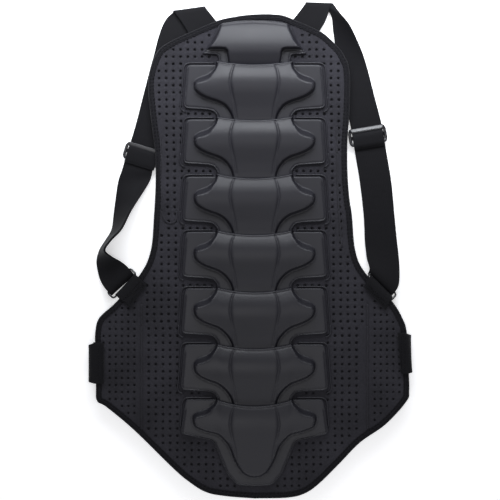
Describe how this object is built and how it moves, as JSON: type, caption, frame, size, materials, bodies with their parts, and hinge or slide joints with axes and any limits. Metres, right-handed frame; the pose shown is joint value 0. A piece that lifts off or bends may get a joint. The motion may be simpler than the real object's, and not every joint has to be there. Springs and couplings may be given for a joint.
{
  "type": "back protector",
  "caption": "Back protector of lapped moulded plates on a perforated panel, with waist wings, shoulder straps, sliders and a tucked waist belt.",
  "frame": {"origin": "on the flat underside of the fifth comfort pad, in the plane that the protector lies on", "axes": "+Y towards the wearer's neck, +X to the right seen from above the plates, +Z out of the plates"},
  "size_m": [0.393, 0.6074, 0.0343],
  "materials": {
    "moulded_plate": "satin moulded",
    "perforated_foam": "perforated, matte",
    "binding_tape": "woven tape, matte",
    "comfort_pad": "air mesh over foam",
    "strap_webbing": "woven webbing",
    "slider_plastic": "semi-gloss moulded",
    "belt_elastic": "ribbed woven elastic",
    "hook_and_loop": "hook and loop pile"
  },
  "bodies": {
    "lumbar": {"spine_plate_5": "moulded_plate", "spine_plate_6": "moulded_plate", "spine_plate_7": "moulded_plate", "back_panel_lumbar": "perforated_foam", "waist_wing_left": "perforated_foam", "waist_wing_right": "perforated_foam", "body_pad_5": "comfort_pad", "body_pad_6": "comfort_pad", "body_pad_7": "comfort_pad", "edge_binding_left_lumbar": "binding_tape", "edge_binding_right_lumbar": "binding_tape", "shoulder_strap_left_5": "strap_webbing", "strap_tab_left": "strap_webbing", "belt_anchor_left": "belt_elastic", "shoulder_strap_right_5": "strap_webbing", "strap_tab_right": "strap_webbing", "belt_anchor_right": "belt_elastic"},
    "segment_4": {"spine_plate_4": "moulded_plate", "back_panel_4": "perforated_foam", "body_pad_4": "comfort_pad", "edge_binding_left_4": "binding_tape", "edge_binding_right_4": "binding_tape", "shoulder_strap_left_4": "strap_webbing", "shoulder_strap_right_4": "strap_webbing"},
    "segment_3": {"spine_plate_3": "moulded_plate", "back_panel_3": "perforated_foam", "body_pad_3": "comfort_pad", "edge_binding_left_3": "binding_tape", "edge_binding_right_3": "binding_tape", "shoulder_strap_left_3": "strap_webbing", "shoulder_strap_right_3": "strap_webbing"},
    "segment_2": {"spine_plate_2": "moulded_plate", "back_panel_2": "perforated_foam", "body_pad_2": "comfort_pad", "edge_binding_left_2": "binding_tape", "edge_binding_right_2": "binding_tape", "shoulder_strap_left_2": "strap_webbing", "shoulder_strap_right_2": "strap_webbing"},
    "segment_1": {"spine_plate_1": "moulded_plate", "back_panel_1": "perforated_foam", "body_pad_1": "comfort_pad", "edge_binding_1": "binding_tape", "shoulder_strap_left_1": "strap_webbing", "shoulder_strap_right_1": "strap_webbing"},
    "tail": {"spine_plate_8": "moulded_plate", "back_panel_tail": "perforated_foam", "body_pad_8": "comfort_pad", "edge_binding_tail": "binding_tape"},
    "slider_left": {"strap_slider_left": "slider_plastic"},
    "belt_left": {"waist_belt_left_near": "belt_elastic"},
    "belt_left_end": {"waist_belt_left_far": "belt_elastic", "loop_patch": "hook_and_loop"},
    "slider_right": {"strap_slider_right": "slider_plastic"},
    "belt_right": {"waist_belt_right_near": "belt_elastic"},
    "belt_right_end": {"waist_belt_right_far": "belt_elastic", "hook_patch": "hook_and_loop"}
  },
  "joints": [
    {"name": "flex_4", "type": "hinge", "parent": "lumbar", "child": "segment_4", "pos_m": [0, 0.0124, 0.008], "axis": [-1, 0, 0], "range_deg": [0, 10], "stiffness_Nm_per_rad": 2},
    {"name": "flex_3", "type": "hinge", "parent": "segment_4", "child": "segment_3", "pos_m": [0, 0.0822, 0.008], "axis": [-1, 0, 0], "range_deg": [0, 10], "stiffness_Nm_per_rad": 2},
    {"name": "flex_2", "type": "hinge", "parent": "segment_3", "child": "segment_2", "pos_m": [0, 0.152, 0.008], "axis": [-1, 0, 0], "range_deg": [0, 10], "stiffness_Nm_per_rad": 2},
    {"name": "flex_1", "type": "hinge", "parent": "segment_2", "child": "segment_1", "pos_m": [0, 0.2218, 0.008], "axis": [-1, 0, 0], "range_deg": [0, 10], "stiffness_Nm_per_rad": 2},
    {"name": "flex_tail", "type": "hinge", "parent": "lumbar", "child": "tail", "pos_m": [0, -0.197, 0.008], "axis": [1, 0, 0], "range_deg": [0, 10], "stiffness_Nm_per_rad": 2},
    {"name": "slider_left", "type": "slide", "parent": "segment_3", "child": "slider_left", "axis": [-0.2924, -0.9563, 0], "range_m": [-0.018, 0.018]},
    {"name": "slider_right", "type": "slide", "parent": "segment_3", "child": "slider_right", "axis": [0.165, -0.9863, 0], "range_m": [0, 0.042]},
    {"name": "belt_left", "type": "hinge", "parent": "lumbar", "child": "belt_left", "pos_m": [-0.203, -0.138, 0.008], "axis": [0, 1, 0], "range_deg": [0, 180]},
    {"name": "belt_left_fold", "type": "hinge", "parent": "belt_left", "child": "belt_left_end", "pos_m": [-0.07, -0.138, 0.004], "axis": [0, -1, 0], "range_deg": [0, 180]},
    {"name": "belt_right", "type": "hinge", "parent": "lumbar", "child": "belt_right", "pos_m": [0.192, -0.126, 0.008], "axis": [0, -1, 0], "range_deg": [0, 180]},
    {"name": "belt_right_fold", "type": "hinge", "parent": "belt_right", "child": "belt_right_end", "pos_m": [0.07, -0.126, 0.004], "axis": [0, 1, 0], "range_deg": [0, 180]}
  ],
  "couplings": [
    {"joint": "belt_left_fold", "follows": "belt_left", "ratio": 1},
    {"joint": "belt_right_fold", "follows": "belt_right", "ratio": 1}
  ]
}
